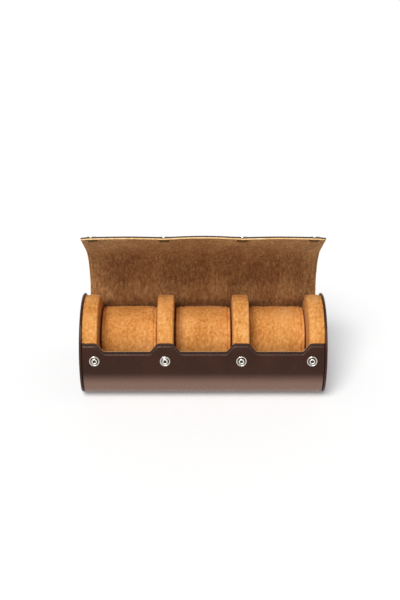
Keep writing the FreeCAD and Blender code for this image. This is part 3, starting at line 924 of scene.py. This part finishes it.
def sewCushion(pad, low, high, seed):
    # One subdivision, then the seams' grooves, and kept clear of the shell and the slot's sides
    smooth = pad.modifiers.new("smooth", "SUBSURF")
    smooth.levels = smooth.render_levels = 1
    graph = bpy.context.evaluated_depsgraph_get()
    plain = bpy.data.meshes.new_from_object(pad.evaluated_get(graph))
    pad.modifiers.clear()
    pad.vertex_groups.clear()
    pad.data = plain
    middle, half = (low + high) / 2, (high - low) / 2
    co = np.array([v.co for v in plain.vertices]) / mm
    normals = np.array([v.normal for v in plain.vertices])
    fromEnd = half[0] - np.abs(co[:, 0] - middle[0])
    sink = dent(fromEnd - cushion["seamIn"], cushion["seamDeep"], cushion["seamWide"])
    rough = np.array([softWave(v[0] + v[2], v[1] - v[2], cushion["napSize"], seed) for v in co])
    co += normals * (rough * cushion["nap"] - sink)[:, None]
    co[:, 0] = np.clip(co[:, 0], low[0] - cushion["sideRoom"], high[0] + cushion["sideRoom"])
    co[:, 2] = np.maximum(co[:, 2], low[2])  # flat where it rests on the lining
    away = np.hypot(co[:, 1], co[:, 2] - body["axis"])
    most = body["radius"] - body["wall"] - cushion["clear"]
    pull = np.where((away > most) & (co[:, 1] > 0), most / np.maximum(away, tiny), 1.0)
    co[:, 1] *= pull
    co[:, 2] = body["axis"] + (co[:, 2] - body["axis"]) * pull
    plain.vertices.foreach_set("co", (co * mm).astype(np.float32).ravel())
    plain.update()
    plain.shade_smooth()


covers = ["cushion_cover_%d" % (i + 1) for i in range(body["slots"])]
cushionBoxes = [[np.array(p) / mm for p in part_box(cover)] for cover in covers]
pads = [cushionStart("cushion%d" % i, *b) for i, b in enumerate(cushionBoxes, 1)]
blowUp(pads)
for i, (pad, (low, high)) in enumerate(zip(pads, cushionBoxes), 1):
    sewCushion(pad, low, high, cushion["napSeed"] + i)
    settle(pad, "cushion_%d" % i, "suede", "cushion_cover_%d" % i, "cushion_foam_%d" % i)
print("cushions filled")


# Floor, light and camera; the floor's width and the camera's place are in metres

stage = {"floor": "#e8e8e8", "wide": 60.0, "drop": 0.2, "lift": 0.17, "world": 0.28,
         "sun": 2.9, "sunSpread": 34.0, "sunFrom": (-0.25, -0.55, 0.88)}


def seenRays(tree):                         # 1 for what the camera, mirrors and glass see
    path = addNode(tree, "ShaderNodeLightPath")
    seen = addNode(tree, "ShaderNodeMath", {"operation": "MAXIMUM"}, {
        0: path.outputs["Is Camera Ray"], 1: path.outputs["Is Glossy Ray"]})
    return addNode(tree, "ShaderNodeMath", {"operation": "MAXIMUM"}, {
        0: seen.outputs[0], 1: path.outputs["Is Transmission Ray"]}).outputs[0]


def floorFinish():
    # Matt white paper, lifted to white where it is seen; the shadow stays
    finish, tree, shader, _ = startFinish("white paper sweep")
    shader.inputs["Base Color"].default_value = hexColour(stage["floor"])
    shader.inputs["Roughness"].default_value = 0.8
    lift = addNode(tree, "ShaderNodeMath", {"operation": "MULTIPLY"}, {0: seenRays(tree), 1: stage["lift"]})
    shader.inputs["Emission Color"].default_value = (1, 1, 1, 1)
    tree.links.new(lift.outputs[0], shader.inputs["Emission Strength"])
    return finish


wide = stage["wide"] / 2 / mm
corners = [(x * wide, y * wide, -stage["drop"]) for x, y in ((-1, -1), (1, -1), (1, 1), (-1, 1))]
smoothPiece("floor", corners, [(0, 1, 2, 3)], floorFinish())

world = bpy.data.worlds.new("studio")
world.use_nodes = True
scene.world = world
tree = world.node_tree
tree.nodes.clear()
glow = addNode(tree, "ShaderNodeMapRange", inputs={
    "Value": seenRays(tree), "To Min": stage["world"], "To Max": 1.0})
sky = addNode(tree, "ShaderNodeBackground", inputs={
    "Color": (1, 1, 1, 1), "Strength": glow.outputs["Result"]})
addNode(tree, "ShaderNodeOutputWorld", inputs={"Surface": sky.outputs["Background"]})

sun = bpy.data.lights.new("bigSoftLamp", "SUN")
sun.energy, sun.angle = stage["sun"], math.radians(stage["sunSpread"])
lamp = bpy.data.objects.new("bigSoftLamp", sun)
lamp.rotation_euler = (-Vector(stage["sunFrom"])).to_track_quat("-Z", "Y").to_euler()
scene.collection.objects.link(lamp)

view = {"rise": 35.0, "distance": 1.1, "lens": 67.9, "sensor": 36.0, "aimUp": 2.24, "aside": -0.003}
camera = bpy.data.objects.new("camera", bpy.data.cameras.new("camera"))
camera.data.lens = view["lens"]
camera.data.sensor_width = view["sensor"]
rise = math.radians(view["rise"])
camera.location = (view["aside"], -view["distance"] * math.cos(rise),
                   body["axis"] * mm + view["distance"] * math.sin(rise))
camera.rotation_euler = (math.radians(90 - view["rise"] + view["aimUp"]), 0, 0)
scene.collection.objects.link(camera)
scene.camera = camera
scene.view_settings.view_transform = "Standard"
print("stage, light and camera")
